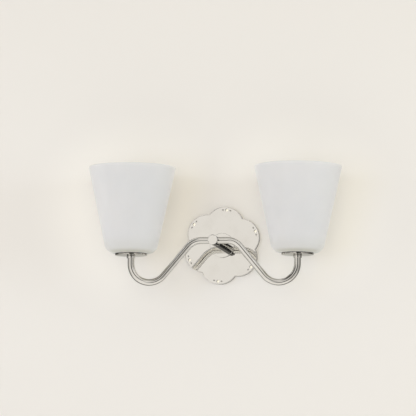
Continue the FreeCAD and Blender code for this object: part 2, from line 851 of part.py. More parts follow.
def makeBulbGlass(side):
    # candle shape: a straight neck in the cap, a full belly low down and a drawn-out tip
    neck = size("screwRadius") - size("screwWall") - size("slipClearance")
    top = (
        size("seatThickness")
        - size("seatDrop")
        + size("holderBaseHeight")
        - size("holderSpigot")
        + size("holderPartition")
        + size("contactRise")
        + size("eyeHeight")
        + size("insulatorHeight")
        + size("screwHeight")
    )
    foot = top - size("bulbEntry")

    def wallLine(inset):
        points = [
            FreeCAD.Vector(neck - inset, 0, top),
            FreeCAD.Vector(size("bulbRadius") - inset, 0, top + size("bulbShoulder")),
            FreeCAD.Vector(size("bulbTaperRadius") - inset, 0, top + size("bulbTaperHeight")),
            FreeCAD.Vector(0, 0, top + size("bulbHeight") - inset),
        ]
        curve = Part.BSplineCurve()
        up, inward = FreeCAD.Vector(0, 0, 1), FreeCAD.Vector(-1, 0, 0)
        curve.interpolate(Points=points, InitialTangent=up, FinalTangent=inward)
        return curve.toShape(), points

    outer, outerPoints = wallLine(0.0)
    inner, innerPoints = wallLine(size("bulbGlassWall"))
    outerFoot = FreeCAD.Vector(outerPoints[0].x, 0, foot)
    innerFoot = FreeCAD.Vector(innerPoints[0].x, 0, foot)
    edges = [
        outer,
        Part.LineSegment(outerPoints[-1], innerPoints[-1]).toShape(),
        inner,
        Part.LineSegment(innerPoints[0], innerFoot).toShape(),
        Part.LineSegment(innerFoot, outerFoot).toShape(),
        Part.LineSegment(outerFoot, outerPoints[0]).toShape(),
    ]
    face = Part.Face(Part.Wire(Part.__sortEdges__(edges)))
    return newShape(f"{side}_bulb_glass", face.revolve(FreeCAD.Vector(), FreeCAD.Vector(0, 0, 1), 360))


def build():
    makeBackplate()
    makeBoss()
    makeStem()
    makeStemFront()
    makeStemFixing()
    makeWallBar()
    makeWallScrews()
    for side, sign in SIDES:
        makeArm(side, sign)
        makeLead(side, sign)
        pieces = makeSeat(side) + [makeShade(side), makeShadeRing(side)]
        for part in pieces + makeHolder(side) + makeBulb(side):
            placeAtLamp(part, sign)
    makeLampFixings()
    document.recompute()


def check():
    broken = {"Invalid", "Error"}
    faults = [f"{item.Label}: {item.State}" for item in document.Objects if set(item.State) & broken]
    for part in parts:
        if part.Shape.isNull() or not part.Shape.isValid() or part.Shape.Volume <= 0:
            faults.append(f"{part.Label}: bad shape")
    if faults:
        raise RuntimeError("; ".join(faults))


def export():
    os.makedirs("parts", exist_ok=True)
    for part in parts:
        part.Shape.exportStep(f"parts/{part.Label}.step")
        box = part.Shape.BoundBox
        spans = ((box.XMin, box.XMax), (box.YMin, box.YMax), (box.ZMin, box.ZMax))
        reach = ", ".join(f"{low:.1f}..{high:.1f}" for low, high in spans)
        print(f"{part.Label}: {len(part.Shape.Solids)} solid, {part.Shape.Volume:.0f} mm3, {reach}")


build()
check()
export()
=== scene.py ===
import json
import math
import bmesh
import bpy
from mathutils import Matrix, Vector
from mathutils.geometry import interpolate_bezier


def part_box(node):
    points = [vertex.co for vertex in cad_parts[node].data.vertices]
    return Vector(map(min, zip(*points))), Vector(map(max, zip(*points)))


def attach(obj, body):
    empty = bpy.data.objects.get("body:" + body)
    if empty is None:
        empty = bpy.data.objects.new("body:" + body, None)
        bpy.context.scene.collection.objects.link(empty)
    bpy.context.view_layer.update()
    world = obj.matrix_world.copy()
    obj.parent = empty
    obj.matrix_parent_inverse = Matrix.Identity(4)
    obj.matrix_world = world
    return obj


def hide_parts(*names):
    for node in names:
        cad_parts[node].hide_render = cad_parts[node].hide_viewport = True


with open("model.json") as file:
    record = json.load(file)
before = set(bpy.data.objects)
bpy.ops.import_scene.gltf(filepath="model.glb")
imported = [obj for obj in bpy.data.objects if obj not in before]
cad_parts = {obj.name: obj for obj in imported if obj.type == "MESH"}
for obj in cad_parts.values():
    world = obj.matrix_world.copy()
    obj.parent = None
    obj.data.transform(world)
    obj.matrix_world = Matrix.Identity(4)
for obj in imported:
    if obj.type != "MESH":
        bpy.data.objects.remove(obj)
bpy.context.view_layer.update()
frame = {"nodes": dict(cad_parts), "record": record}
nodes = frame["nodes"]
print("loaded", len(nodes), "CAD nodes")

# Metres. The wall is the plane y = 0, the room is towards -Y, and the origin is the centre of the backplate's
# back face.
light = {
    "standoff": 0.096,        # from the wall to the plane of the arms and lamps
    "reach": 0.138,           # from the stem's axis to each lamp's axis
    "sides": (("left", -1), ("right", 1)),
}
hub = Vector((0.0, -light["standoff"], 0.0))  # where both arms leave the stem


def lampCentre(sign):
    return hub + Vector((sign * light["reach"], 0.0, 0.0))


camera = {
    "distance": 4.0,
    "azimuth": 9.04,          # where it stands, to the right of the stem's axis
    "elevation": -5.5,        # and below it
    "heading": 9.19,          # where it looks, to the left
    "climb": 6.26,            # and up
    "roll": 0.60,
    "lens": 211.2,
    "sensor": 36.0,
    "clip": (0.05, 50),
}


def direction(heading, climb):
    # a unit vector towards the wall, turned to the left by heading and up by climb
    level = math.cos(climb)
    return Vector((-math.sin(heading) * level, math.cos(heading) * level, math.sin(climb)))


def makeCamera(sizes):
    angles = ("azimuth", "elevation", "heading", "climb", "roll")
    azimuth, elevation, heading, climb, roll = (math.radians(sizes[key]) for key in angles)
    stand = -direction(azimuth, -elevation)
    forward = direction(heading, climb)
    level = forward.cross(Vector((0, 0, 1))).normalized()
    above = level.cross(forward)
    right = math.cos(roll) * level + math.sin(roll) * above
    up = math.cos(roll) * above - math.sin(roll) * level
    data = bpy.data.cameras.new("photoCamera")
    data.lens, data.sensor_width = sizes["lens"], sizes["sensor"]
    data.clip_start, data.clip_end = sizes["clip"]
    viewer = bpy.data.objects.new("photoCamera", data)
    bpy.context.scene.collection.objects.link(viewer)
    turn = Matrix((right, up, -forward)).transposed().to_4x4()
    viewer.matrix_world = Matrix.Translation(hub + stand * sizes["distance"]) @ turn
    bpy.context.scene.camera = viewer


makeCamera(camera)
bpy.context.scene.view_settings.view_transform = "Standard"
print("camera placed")


class Nodes:
    # a short way to write a node tree: most calls add a node and give back its output for the next one
    def __init__(self, tree):
        self.tree = tree
        tree.nodes.clear()

    def add(self, kind, inputs=(), **settings):
        node = self.tree.nodes.new(kind)
        for key, value in settings.items():
            setattr(node, key, value)
        self.fill(node, dict(inputs))
        return node

    def fill(self, node, inputs):
        for key, value in inputs.items():
            self.put(node.inputs[key], value)

    def put(self, socket, value):
        if isinstance(value, bpy.types.NodeSocket):
            self.tree.links.new(value, socket)
        else:
            socket.default_value = value

    def calculate(self, operation, *values):
        node = self.add("ShaderNodeMath", operation=operation)
        for socket, value in zip(node.inputs, values):
            self.put(socket, value)
        return node.outputs[0]

    def remap(self, value, low, high, toLow=0.0, toHigh=1.0, smooth=False):
        kind = "SMOOTHSTEP" if smooth else "LINEAR"
        node = self.add("ShaderNodeMapRange", interpolation_type=kind)
        for socket, number in zip(node.inputs, (value, low, high, toLow, toHigh)):
            self.put(socket, number)
        return node.outputs[0]

    def blend(self, share, first, second):
        node = self.add("ShaderNodeMix", data_type="RGBA")
        colours = [socket for socket in node.inputs if socket.type == "RGBA"]
        self.put(node.inputs[0], share)
        self.put(colours[0], first)
        self.put(colours[1], second)
        return next(socket for socket in node.outputs if socket.type == "RGBA")

    def mixed(self, share, first, second):
        return self.add("ShaderNodeMixShader", {0: share, 1: first, 2: second}).outputs[0]

    def place(self):
        return self.add("ShaderNodeTexCoord").outputs["Object"]

    def noise(self, place, scale, detail):
        inputs = {"Vector": place, "Scale": scale, "Detail": detail}
        return self.add("ShaderNodeTexNoise", inputs).outputs["Fac"]

    def stretched(self, place, scale):
        return self.add("ShaderNodeMapping", {"Vector": place, "Scale": scale}).outputs["Vector"]

    def bump(self, height, strength, distance):
        inputs = {"Height": height, "Strength": strength, "Distance": distance}
        return self.add("ShaderNodeBump", inputs).outputs[0]

    def apart(self, vector):
        return self.add("ShaderNodeSeparateXYZ", {0: vector}).outputs

    def point(self, across, along, up=0.0):
        return self.add("ShaderNodeCombineXYZ", {"X": across, "Y": along, "Z": up}).outputs[0]

    def length(self, vector):
        return self.add("ShaderNodeVectorMath", {0: vector}, operation="LENGTH").outputs["Value"]


def colour(red, green, blue):
    # from the 0 to 255 of a picture to a shader's linear colour
    def linear(value):
        share = value / 255
        return share / 12.92 if share <= 0.04045 else ((share + 0.055) / 1.055) ** 2.4

    return (linear(red), linear(green), linear(blue), 1.0)


def newMaterial(name):
    material = bpy.data.materials.new(name)
    material.use_nodes = True
    tree = Nodes(material.node_tree)
    shader = tree.add("ShaderNodeBsdfPrincipled")
    tree.add("ShaderNodeOutputMaterial", {"Surface": shader.outputs[0]})
    return material, tree, shader


# In the finishes, a noise is its scale and detail, a tone is the noise values between which the second colour
# takes over, a gloss is two noise values and the roughness at each, and a relief is a bump's strength and
# depth.
polish = {
    "haze": (38.0, 3.0),
    "hazeTone": (0.45, 0.75),
    "hazeGloss": (0.35, 0.75, 0.02, 0.05),
    "hairs": (1.0, 2.0),
    "hairStretch": (900.0, 140.0, 900.0),
    "hairGloss": (0.6, 0.8, 0.0, 0.02),
    "relief": (0.02, 0.0001),
}


def polishedMetal(name, clean, worn, edge):
    # mirror polish with a faint haze in patches and hairlines too fine to see one by one. The edge colour
    # tints what the metal shows at a glancing angle
    material, tree, shader = newMaterial(name)
    place = tree.place()
    haze = tree.noise(place, *polish["haze"])
    hairs = tree.noise(tree.stretched(place, polish["hairStretch"]), *polish["hairs"])
    rough = tree.remap(haze, *polish["hazeGloss"])
    tree.fill(shader, {
        "Metallic": 1.0,
        "Specular Tint": edge,
        "Base Color": tree.blend(tree.remap(haze, *polish["hazeTone"]), clean, worn),
        "Roughness": tree.calculate("ADD", rough, tree.remap(hairs, *polish["hairGloss"])),
        "Normal": tree.bump(hairs, *polish["relief"]),
    })
    return material


plating = {
    "crystalScale": 420.0,
    "crystalShare": 0.5,
    "grain": (900.0, 4.0),
    "gloss": (0.3, 0.7, 0.22, 0.42),
    "relief": (0.08, 0.0002),
}


def platedSteel(name, base, speckle):
    # bright zinc: a small crystal pattern and a soft sheen
    material, tree, shader = newMaterial(name)
    place = tree.place()
    pattern = {"Vector": place, "Scale": plating["crystalScale"]}
    crystals = tree.add("ShaderNodeTexVoronoi", pattern).outputs["Color"]
    grain = tree.noise(place, *plating["grain"])
    share = tree.calculate("MULTIPLY", crystals, plating["crystalShare"])
    tree.fill(shader, {
        "Metallic": 1.0,
        "Base Color": tree.blend(share, base, speckle),
        "Roughness": tree.remap(grain, *plating["gloss"]),
        "Normal": tree.bump(grain, *plating["relief"]),
    })
    return material


tarnished = {
    "tarnish": (120.0, 5.0),
    "tone": (0.4, 0.7),
    "gloss": (0.3, 0.7, 0.18, 0.38),
    "relief": (0.05, 0.0002),
}


def satinBrass(name, clean, dull):
    material, tree, shader = newMaterial(name)
    tarnish = tree.noise(tree.place(), *tarnished["tarnish"])
    tree.fill(shader, {
        "Metallic": 1.0,
        "Base Color": tree.blend(tree.remap(tarnish, *tarnished["tone"]), clean, dull),
        "Roughness": tree.remap(tarnish, *tarnished["gloss"]),
        "Normal": tree.bump(tarnish, *tarnished["relief"]),
    })
    return material


moulding = {
    "mottle": (60.0, 3.0),
    "mottleTone": (0.35, 0.7),
    "grainDetail": 3.0,
    "grainGloss": (0.3, 0.7),  # each moulded finish has roughness values of its own
    "relief": (0.06, 0.0003),
}


def moulded(name, base, faded, rough, grainScale, coat=0.0):
    # moulded plastic, rubber, paint or glaze: a faint mottle and an orange-peel surface
    material, tree, shader = newMaterial(name)
    place = tree.place()
    mottle = tree.noise(place, *moulding["mottle"])
    grain = tree.noise(place, grainScale, moulding["grainDetail"])
    tree.fill(shader, {
        "Base Color": tree.blend(tree.remap(mottle, *moulding["mottleTone"]), base, faded),
        "Roughness": tree.remap(grain, *moulding["grainGloss"], *rough),
        "Coat Weight": coat,
        "Normal": tree.bump(grain, *moulding["relief"]),
    })
    return material


opal = {
    "body": (colour(223, 222, 222), colour(218, 218, 219)),
    "clouds": (14.0, 3.0),
    "cloudTone": (0.35, 0.7),
    "footColour": colour(210, 209, 204),  # painted shade: the foot is darker and warmer, fading upwards
    "footShare": 0.6,
    "footFade": 0.030,
    "lipColour": colour(186, 184, 168),   # and more so where it turns under to its seat, as painted shade
    "lipShare": 0.8,
    "lipFade": 0.007,
    "rimColour": colour(232, 231, 230),   # a band just below the rim is a little lighter
    "rimShare": 0.25,
    "rimBand": 0.0045,
    "rimEdge": 0.001,
    "satin": (2200.0, 2.0),
    "satinGloss": (0.3, 0.7, 0.34, 0.46),
    "satinRelief": (0.05, 0.0001),
    "chalk": 0.6,                         # evens out the light between its middle and its edges
    "ior": 1.5,
    "specular": 0.20,
    "sheen": 0.70,
    "sheenRoughness": 0.4,
    "scatter": 0.20,
    "scatterScale": 1.0,
    "scatterReach": (0.012, 0.012, 0.011),
}


def opalGlass(name, foot, rim):
    # white glass with a satin skin, faint clouds and painted shade near its foot, from its foot's height to
    # its rim's
    material, tree, shader = newMaterial(name)
    place = tree.place()
    height = tree.apart(place)["Z"]
    satin = tree.noise(place, *opal["satin"])
    body = tree.blend(tree.remap(tree.noise(place, *opal["clouds"]), *opal["cloudTone"]), *opal["body"])
    # painted shade: darker, warmer colour laid in towards the foot and at its lip
    for part in ("foot", "lip"):
        share = tree.remap(height, foot, foot + opal[f"{part}Fade"], opal[f"{part}Share"], 0.0, smooth=True)
        body = tree.blend(share, body, opal[f"{part}Colour"])
    rimBandFoot = rim - opal["rimBand"]
    share = tree.remap(height, rimBandFoot, rimBandFoot + opal["rimEdge"], 0.0, opal["rimShare"], smooth=True)
    tree.fill(shader, {
        "Base Color": tree.blend(share, body, opal["rimColour"]),
        "Roughness": tree.remap(satin, *opal["satinGloss"]),
        "Normal": tree.bump(satin, *opal["satinRelief"]),
        "Diffuse Roughness": opal["chalk"],
        "IOR": opal["ior"],
        "Specular IOR Level": opal["specular"],
        "Sheen Weight": opal["sheen"],
        "Sheen Roughness": opal["sheenRoughness"],
        "Subsurface Weight": opal["scatter"],
        "Subsurface Scale": opal["scatterScale"],
        "Subsurface Radius": opal["scatterReach"],
    })
    return material


nickelTones = ((0.91, 0.90, 0.875, 1), (0.87, 0.855, 0.825, 1))
# painted shade: a darker copy of the nickel for the seat discs, standing in for the shade their undersides
# show
shadedSeatTones = ((0.68, 0.67, 0.64, 1), (0.64, 0.63, 0.60, 1))
# painted shade: the arms' copy of the nickel has a dark edge tint, darkening them at glancing angles as a
# dark room reflected there would
darkEdgeTubeNickel = polishedMetal("darkEdgeTubeNickel", *nickelTones, edge=(0.34, 0.33, 0.31, 1))
shadedSeatNickel = polishedMetal("shadedSeatNickel", *shadedSeatTones, edge=(0.64, 0.64, 0.62, 1))
shadeFoot, shadeRim = (corner.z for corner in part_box("left_shade"))
finishes = {
    "polished_nickel": polishedMetal("polishedNickel", *nickelTones, edge=(0.85, 0.85, 0.84, 1)),
    "zinc_steel": platedSteel("zincSteel", (0.62, 0.63, 0.64, 1), (0.50, 0.52, 0.53, 1)),
    "brass": satinBrass("satinBrass", (0.80, 0.62, 0.32, 1), (0.62, 0.45, 0.22, 1)),
    "green_screw": moulded("greenScrew", (0.03, 0.22, 0.07, 1), (0.02, 0.16, 0.05, 1),
                           rough=(0.25, 0.4), grainScale=900.0),
    "opal_glass": opalGlass("opalGlass", shadeFoot, shadeRim),
    "rubber": moulded("blackRubber", (0.02, 0.02, 0.02, 1), (0.035, 0.034, 0.032, 1),
                      rough=(0.6, 0.8), grainScale=1500.0),
    "phenolic": moulded("ivoryPhenolic", (0.78, 0.75, 0.68, 1), (0.72, 0.69, 0.61, 1),
                        rough=(0.18, 0.3), grainScale=700.0, coat=0.3),
    "lead_sleeve": moulded("leadSleeve", (0.70, 0.67, 0.60, 1), (0.63, 0.60, 0.53, 1),
                           rough=(0.4, 0.55), grainScale=1200.0),
    "bulb_glass": moulded("frostedBulb", (0.86, 0.85, 0.82, 1), (0.82, 0.81, 0.78, 1),
                          rough=(0.28, 0.38), grainScale=1800.0),
    "bulb_cap": platedSteel("bulbCap", (0.78, 0.77, 0.74, 1), (0.70, 0.69, 0.66, 1)),
    "bulb_insulator": moulded("blackInsulator", (0.012, 0.012, 0.014, 1), (0.02, 0.02, 0.022, 1),
                              rough=(0.08, 0.16), grainScale=500.0),
}
slotOf = {row["node"]: row["material_slot"] for row in frame["record"]["subparts"]}
for name, piece in nodes.items():
    piece.data.materials.clear()
    piece.data.materials.append(finishes[slotOf[name]])
print("materials made:", len(finishes))

turned = {
    "steps": 5,               # from end to end of each rounded corner
    "support": 0.0002,        # a point this far past its ends keeps the flats beside it flat in reflections
    "segments": 96,
    "onAxis": 1e-7,
    "weld": 1e-6,
}


def softened(corners, steps=turned["steps"]):
    # a closed profile from corners (radius, height, rounding) in metres. Each rounding becomes an arc
    points = []
    count = len(corners)
    for index, (radius, height, rounding) in enumerate(corners):
        here = Vector((radius, height))
        before = Vector(corners[index - 1][:2])
        after = Vector(corners[(index + 1) % count][:2])
        if rounding == 0:
            points.append(here)
            continue
        back, on = (before - here).normalized(), (after - here).normalized()
        half = back.angle(on) / 2
        run = rounding / math.tan(half)
        centre = here + (back + on).normalized() * (rounding / math.sin(half))
        start, finish = here + back * run - centre, here + on * run - centre
        sweep = start.angle_signed(finish)
        points.append(centre + start + back * turned["support"])
        for step in range(steps + 1):
            turn = Matrix.Rotation(-sweep * step / steps, 2)
            points.append(centre + turn @ start)
        points.append(centre + finish + on * turned["support"])
    return points


def lathe(name, profile, centre=(0, 0, 0), segments=turned["segments"], closed=True):
    # turns a profile of (radius, height) about the upright axis through centre. A third number in a row is a
    # hexagon's half width over its flats, which cuts the round down
    work = bmesh.new()
    rings = []
    for radius, height, *flats in profile:
        spots = 1 if radius < turned["onAxis"] else segments
        ring = []
        for step in range(spots):
            angle = 2 * math.pi * step / segments
            offFlat = angle % (math.pi / 3) - math.pi / 6
            reach = min([radius] + [half / math.cos(offFlat) for half in flats])
            local = Vector((reach * math.cos(angle), reach * math.sin(angle), height))
            ring.append(work.verts.new(local + Vector(centre)))
        rings.append(ring)
    pairs = list(zip(rings, rings[1:]))
    if closed:
        pairs.append((rings[-1], rings[0]))
    for lower, upper in pairs:
        for step in range(segments):
            corners = [lower[step % len(lower)], lower[(step + 1) % len(lower)],
                       upper[(step + 1) % len(upper)], upper[step % len(upper)]]
            corners = list(dict.fromkeys(corners))
            if len(corners) > 2:
                work.faces.new(corners)
    bmesh.ops.recalc_face_normals(work, faces=work.faces)
    mesh = bpy.data.meshes.new(name)
    work.to_mesh(mesh)
    work.free()
    return mesh


def addPiece(name, mesh, body, finish, *replaced, sharpAngle=35):
    mesh.name = name
    mesh.materials.clear()
    mesh.materials.append(finishes[finish])
    mesh.shade_smooth()
    mesh.set_sharp_from_angle(angle=math.radians(sharpAngle))
    piece = bpy.data.objects.new(name, mesh)
    bpy.context.scene.collection.objects.link(piece)
    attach(piece, body)
    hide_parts(*replaced)
    return piece


def addWall(piece, thickness):
    # gives an open tube its wall, inwards, with crisp ends so that the run up to them shades straight
    work = bmesh.new()
    work.from_mesh(piece.data)
    for edge in work.edges:
        edge.smooth = edge.smooth and not edge.is_boundary
    work.to_mesh(piece.data)
    work.free()
    skin = piece.modifiers.new("wall", "SOLIDIFY")
    skin.thickness, skin.offset = thickness, -1.0
    skin.use_rim = True


def newTree(name, inputs):
    # a geometry tree with named inputs; returns it with the outputs that carry them
    group = bpy.data.node_groups.new(name, "GeometryNodeTree")
    tree = Nodes(group)
    group.interface.new_socket("Geometry", in_out="INPUT", socket_type="NodeSocketGeometry")
    for label, kind, start in inputs:
        socket = group.interface.new_socket(label, in_out="INPUT", socket_type=f"NodeSocket{kind}")
        if start is not None:
            socket.default_value = start
    group.interface.new_socket("Geometry", in_out="OUTPUT", socket_type="NodeSocketGeometry")
    given = tree.add("NodeGroupInput").outputs
    return tree, {socket.name: socket for socket in given if socket.name}


def gridOfPlaces(tree, around, across):
    # a unit grid to bend into shape: its mesh, and how far round and across each point is, from 0 to 1
    sizes = {"Size X": 1.0, "Size Y": 1.0, "Vertices X": around, "Vertices Y": across}
    grid = tree.add("GeometryNodeMeshGrid", sizes).outputs[0]
    place = tree.apart(tree.add("GeometryNodeInputPosition").outputs[0])
    return grid, tree.calculate("ADD", place["X"], 0.5), tree.calculate("ADD", place["Y"], 0.5)


def bent(tree, grid, radius, angle, height):
    # moves the grid's points onto their radius, angle and height, and closes the seam
    across = tree.calculate("MULTIPLY", radius, tree.calculate("COSINE", angle))
    along = tree.calculate("MULTIPLY", radius, tree.calculate("SINE", angle))
    spot = tree.point(across, along, height)
    shape = tree.add("GeometryNodeSetPosition", {"Geometry": grid, "Position": spot}).outputs[0]
    seam = {"Geometry": shape, "Distance": turned["weld"]}
    return tree.add("GeometryNodeMergeByDistance", seam).outputs[0]


def endTree(tree, geometry, finish):
    geometry = tree.add("GeometryNodeRealizeInstances", {"Geometry": geometry}).outputs[0]
    geometry = tree.add("GeometryNodeSetMaterial", {"Geometry": geometry, "Material": finish}).outputs[0]
    tree.add("NodeGroupOutput", {"Geometry": geometry})
    return tree.tree


def grow(group, values, start=None):
    # runs a geometry tree on a mesh of its own and returns the plain mesh that comes out
    carrier = bpy.data.objects.new("carrier", start or bpy.data.meshes.new("carrier"))
    bpy.context.scene.collection.objects.link(carrier)
    modifier = carrier.modifiers.new("grow", "NODES")
    modifier.node_group = group
    for item in group.interface.items_tree:
        if item.in_out == "INPUT" and item.name in values:
            modifier[item.identifier] = values[item.name]
    graph = bpy.context.evaluated_depsgraph_get()
    mesh = bpy.data.meshes.new_from_object(carrier.evaluated_get(graph))
    carrier.modifiers.remove(modifier)
    bpy.data.objects.remove(carrier)
    return mesh


arm = {
    "radius": 0.0055,
    "wall": 0.00125,
    "start": 0.0039,          # the level run begins inside the stem
    "foot": -0.0266,          # and the tube ends inside the collar
    "drop": 0.0689,
    "slope": 50.0,
    "elbowRadius": 0.031,
    "crestRadius": 0.0285,
    "sides": 56,
    "bendPoints": 40,
}


def sweptTubeTree():
    # a tube along straight runs, with a bend of its own radius at each corner
    tree, given = newTree("sweptTube", (
        ("Tube Radius", "Float", 0.005), ("Sides", "Int", 48), ("Bend Points", "Int", 32),
        ("Finish", "Material", None)))
    line = tree.add("GeometryNodeMeshToCurve", {"Mesh": given["Geometry"]}).outputs[0]
    bend = tree.add("GeometryNodeInputNamedAttribute", {"Name": "bend"}, data_type="FLOAT").outputs[0]
    corners = {"Curve": line, "Count": given["Bend Points"], "Radius": bend}
    line = tree.add("GeometryNodeFilletCurve", corners, mode="POLY").outputs[0]
    circle = {"Resolution": given["Sides"], "Radius": given["Tube Radius"]}
    ring = tree.add("GeometryNodeCurvePrimitiveCircle", circle).outputs[0]
    tube = tree.add("GeometryNodeCurveToMesh", {"Curve": line, "Profile Curve": ring}).outputs[0]
    tube = tree.add("GeometryNodeSetShadeSmooth", {"Geometry": tube}).outputs[0]
    return endTree(tree, tube, given["Finish"])


def armRoute(sign):
    # the four corners of one arm's centre line, from the stem out, each with its bend
    slope = math.radians(arm["slope"])
    reach, elbow = light["reach"], arm["elbowRadius"]
    # the climb touches the elbow's circle; its line meets the lamp's axis below and the level run above
    touch = Vector((reach - elbow - elbow * math.sin(slope), elbow - arm["drop"] - elbow * math.cos(slope)))
    climb = Vector((-math.cos(slope), math.sin(slope)))
    low = touch - climb * ((reach - touch.x) / math.cos(slope))
    high = touch - climb * (touch.y / math.sin(slope))
    corners = ((arm["start"], 0.0, 0.0), (high.x, 0.0, arm["crestRadius"]),
               (low.x, low.y, elbow), (reach, arm["foot"], 0.0))
    return [(hub + Vector((sign * x, 0.0, z)), bend) for x, z, bend in corners]


def makeArm(tree, side, sign):
    route = armRoute(sign)
    line = bpy.data.meshes.new("armLine")
    runs = [(step, step + 1) for step in range(len(route) - 1)]
    line.from_pydata([place for place, bend in route], runs, [])
    bends = line.attributes.new("bend", "FLOAT", "POINT")
    for item, (place, bend) in zip(bends.data, route):
        item.value = bend
    values = {"Tube Radius": arm["radius"], "Sides": arm["sides"], "Bend Points": arm["bendPoints"],
              "Finish": finishes["polished_nickel"]}
    mesh = grow(tree, values, line)
    piece = addPiece(f"{side}ArmTube", mesh, "fixture", "polished_nickel", f"{side}_arm")
    # painted shade: the arm takes the dark-edged copy of the nickel
    piece.data.materials[0] = darkEdgeTubeNickel
    addWall(piece, arm["wall"])


armTree = sweptTubeTree()
for side, sign in light["sides"]:
    makeArm(armTree, side, sign)
print("arms swept")

shade = {
    "foot": -0.0210,
    "floor": -0.0170,
    "rim": 0.1218,
    "hole": 0.0210,
    "footRadius": 0.0408,
    "topRadius": 0.0720,
    "wall": 0.0040,
    "footRounding": 0.017,
    "rimRounding": 0.0016,
    "holeRounding": 0.0006,
    "steps": 14,
    "segments": 160,
}


def makeShade(side, sign):
    spread = (shade["topRadius"] - shade["footRadius"]) / (shade["rim"] - shade["foot"])
    level = shade["wall"] * math.sqrt(1 + spread ** 2)
    inside = shade["footRadius"] + shade["wall"] * spread - level
    profile = softened([
        (shade["hole"], shade["foot"], shade["holeRounding"]),
        (shade["footRadius"], shade["foot"], shade["footRounding"]),
        (shade["topRadius"], shade["rim"], shade["rimRounding"]),
        (shade["topRadius"] - level, shade["rim"], shade["rimRounding"]),
        (inside, shade["floor"], shade["footRounding"] - shade["wall"]),
        (shade["hole"], shade["floor"], shade["holeRounding"]),
    ], shade["steps"])
    mesh = lathe("shade", profile, lampCentre(sign), shade["segments"])
    addPiece(f"{side}ShadeGlass", mesh, f"{side}_shade", "opal_glass", f"{side}_shade")


seat = {
    "foot": -0.0242,
    "top": -0.0218,
    "rim": 0.0263,
    "bore": 0.0049,
    "edge": 0.0004,
    "topEdge": 0.0002,
    "segments": 128,
}


def makeSeat(side, sign):
    profile = softened([
        (seat["bore"], seat["foot"], 0),
        (seat["rim"], seat["foot"], seat["edge"]),
        (seat["rim"], seat["top"], seat["topEdge"]),
        (seat["bore"], seat["top"], 0),
    ])
    mesh = lathe("seat", profile, lampCentre(sign), seat["segments"])
    piece = addPiece(f"{side}SeatDisc", mesh, "fixture", "polished_nickel", f"{side}_shade_seat")
    # painted shade: the seat disc takes the darker copy of the nickel
    piece.data.materials[0] = shadedSeatNickel


collar = {
    "foot": -0.0292,
    "radius": 0.0072,
    "bore": 0.00555,
    "shoulder": -0.0266,      # where the bore narrows, above the end of the tube
    "edge": 0.0005,
    "fineEdge": 0.0002,
}


def makeCollar(side, sign):
    profile = softened([
        (collar["bore"], collar["foot"], collar["fineEdge"]),
        (collar["radius"], collar["foot"], collar["edge"]),
        (collar["radius"], seat["foot"], collar["fineEdge"]),
        (seat["bore"], seat["foot"], 0),
        (seat["bore"], collar["shoulder"], 0),
        (collar["bore"], collar["shoulder"], 0),
    ])
    mesh = lathe("collar", profile, lampCentre(sign))
    addPiece(f"{side}ArmCollar", mesh, "fixture", "polished_nickel", f"{side}_arm_collar")


bulb = {
    "neckRadius": 0.01265,
    "foot": 0.0164,
    "neckTop": 0.0204,
    "bellyRadius": 0.0174,
    "bellyHeight": 0.0504,
    "bellyPull": 0.45,        # how upright the line stays below the belly, as a share of that stretch
    "shoulderPull": 0.62,     # and above it
    "tip": 0.0944,
    "tipPull": 0.0042,        # how far the line runs level at the tip
    "wall": 0.0008,
    "lowerSteps": 18,
    "upperSteps": 26,
}


def bulbLine(inset):
    # from the neck up over the belly to the drawn-out tip, as two smooth stretches
    neck = Vector((bulb["neckRadius"] - inset, bulb["neckTop"]))
    belly = Vector((bulb["bellyRadius"] - inset, bulb["bellyHeight"]))
    tip = Vector((0.0, bulb["tip"] - inset))
    climb = Vector((0, (bulb["bellyHeight"] - bulb["neckTop"]) * bulb["bellyPull"]))
    rise = Vector((0, (tip.y - belly.y) * bulb["shoulderPull"]))
    level = Vector((bulb["tipPull"], 0))
    lower = interpolate_bezier(neck, neck + climb, belly - climb, belly, bulb["lowerSteps"])
    upper = interpolate_bezier(belly, belly + rise, tip + level, tip, bulb["upperSteps"])
    line = [Vector((neck.x, bulb["foot"]))] + [Vector(point) for point in lower + upper[1:]]
    line[-1].x = 0.0
    return line


def makeBulbGlass(side, sign):
    profile = bulbLine(0.0) + bulbLine(bulb["wall"])[::-1]
    mesh = lathe("bulb", profile, lampCentre(sign))
    addPiece(f"{side}BulbGlass", mesh, f"{side}_bulb", "bulb_glass", f"{side}_bulb_glass")


for side, sign in light["sides"]:
    makeShade(side, sign)
    makeSeat(side, sign)
    makeCollar(side, sign)
    makeBulbGlass(side, sign)
print("shades, seats, collars and bulbs turned")


def threadedTubeTree():
    # a rolled thread: the radius falls and rises once a pitch, a turn ahead for each turn round the axis
    tree, given = newTree("threadedTube", (
        ("Radius", "Float", 0.013), ("Depth", "Float", 0.0005), ("Pitch", "Float", 0.0036),
        ("Foot", "Float", 0.0), ("Height", "Float", 0.02), ("Run Out", "Float", 0.001),
        ("Around", "Int", 96), ("Along", "Int", 96), ("Finish", "Material", None)))
    grid, around, along = gridOfPlaces(tree, given["Around"], given["Along"])
    angle = tree.calculate("MULTIPLY", around, 2 * math.pi)
    height = tree.calculate("MULTIPLY", along, given["Height"])
    left = tree.calculate("SUBTRACT", given["Height"], height)
    level = tree.calculate("ADD", height, given["Foot"])
    turns = tree.calculate("MULTIPLY", tree.calculate("DIVIDE", level, given["Pitch"]), 2 * math.pi)
    wave = tree.calculate("COSINE", tree.calculate("SUBTRACT", turns, angle))
    wave = tree.calculate("MULTIPLY_ADD", wave, -0.5, 0.5)
    for distance in (height, left):
        share = tree.calculate("DIVIDE", distance, given["Run Out"])
        wave = tree.calculate("MULTIPLY", wave, tree.remap(share, 0.0, 1.0, smooth=True))
    radius = tree.calculate("SUBTRACT", given["Radius"], tree.calculate("MULTIPLY", wave, given["Depth"]))
    tube = bent(tree, grid, radius, angle, level)
    tube = tree.add("GeometryNodeSetShadeSmooth", {"Geometry": tube}).outputs[0]
    return endTree(tree, tube, given["Finish"])


